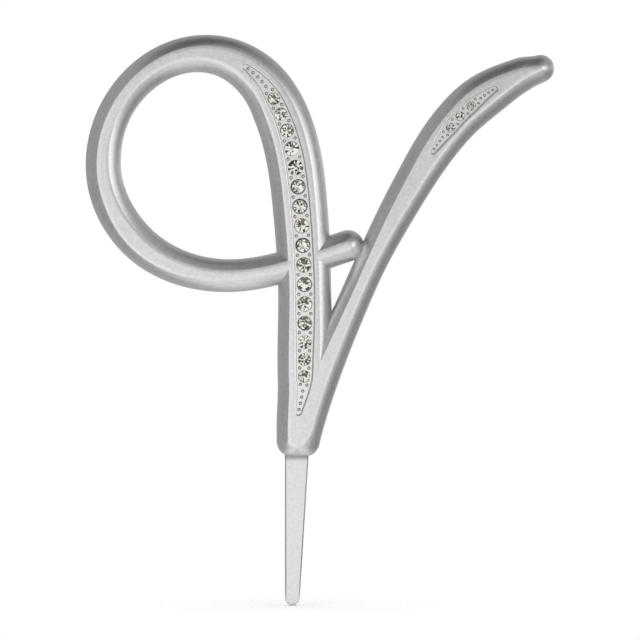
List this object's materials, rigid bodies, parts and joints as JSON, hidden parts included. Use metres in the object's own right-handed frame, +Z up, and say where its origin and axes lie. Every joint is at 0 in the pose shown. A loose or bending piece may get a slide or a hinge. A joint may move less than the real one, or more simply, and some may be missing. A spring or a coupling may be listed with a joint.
{
  "type": "monogram cake topper",
  "caption": "Script capital letter with bevelled satin silver strokes and two rows of faceted clear stones, on a flat tapered pick that is pushed into a cake or other soft base.",
  "frame": {"origin": "middle of the pick where it leaves the letter's foot, on the plane of the back", "axes": "+Z up the letter, +X to the right as the letter is read, -Y out of its face"},
  "size_m": [0.0971, 0.005, 0.1181],
  "materials": {
    "letter_silver": "satin silver plating",
    "pick_silver": "satin silver plating",
    "setting_silver": "fine matt silver plating with bright beads",
    "stone": "clear cut glass with a foil back"
  },
  "bodies": {
    "root": {"letter_frame": "letter_silver", "pick": "pick_silver", "stem_setting": "setting_silver", "arm_setting": "setting_silver", "stem_stone_01": "stone", "stem_stone_02": "stone", "stem_stone_03": "stone", "stem_stone_04": "stone", "stem_stone_05": "stone", "stem_stone_06": "stone", "stem_stone_07": "stone", "stem_stone_08": "stone", "stem_stone_09": "stone", "stem_stone_10": "stone", "stem_stone_11": "stone", "stem_stone_12": "stone", "stem_stone_13": "stone", "stem_stone_14": "stone", "stem_stone_15": "stone", "stem_stone_16": "stone", "arm_stone_01": "stone", "arm_stone_02": "stone", "arm_stone_03": "stone"}
  },
  "joints": []
}
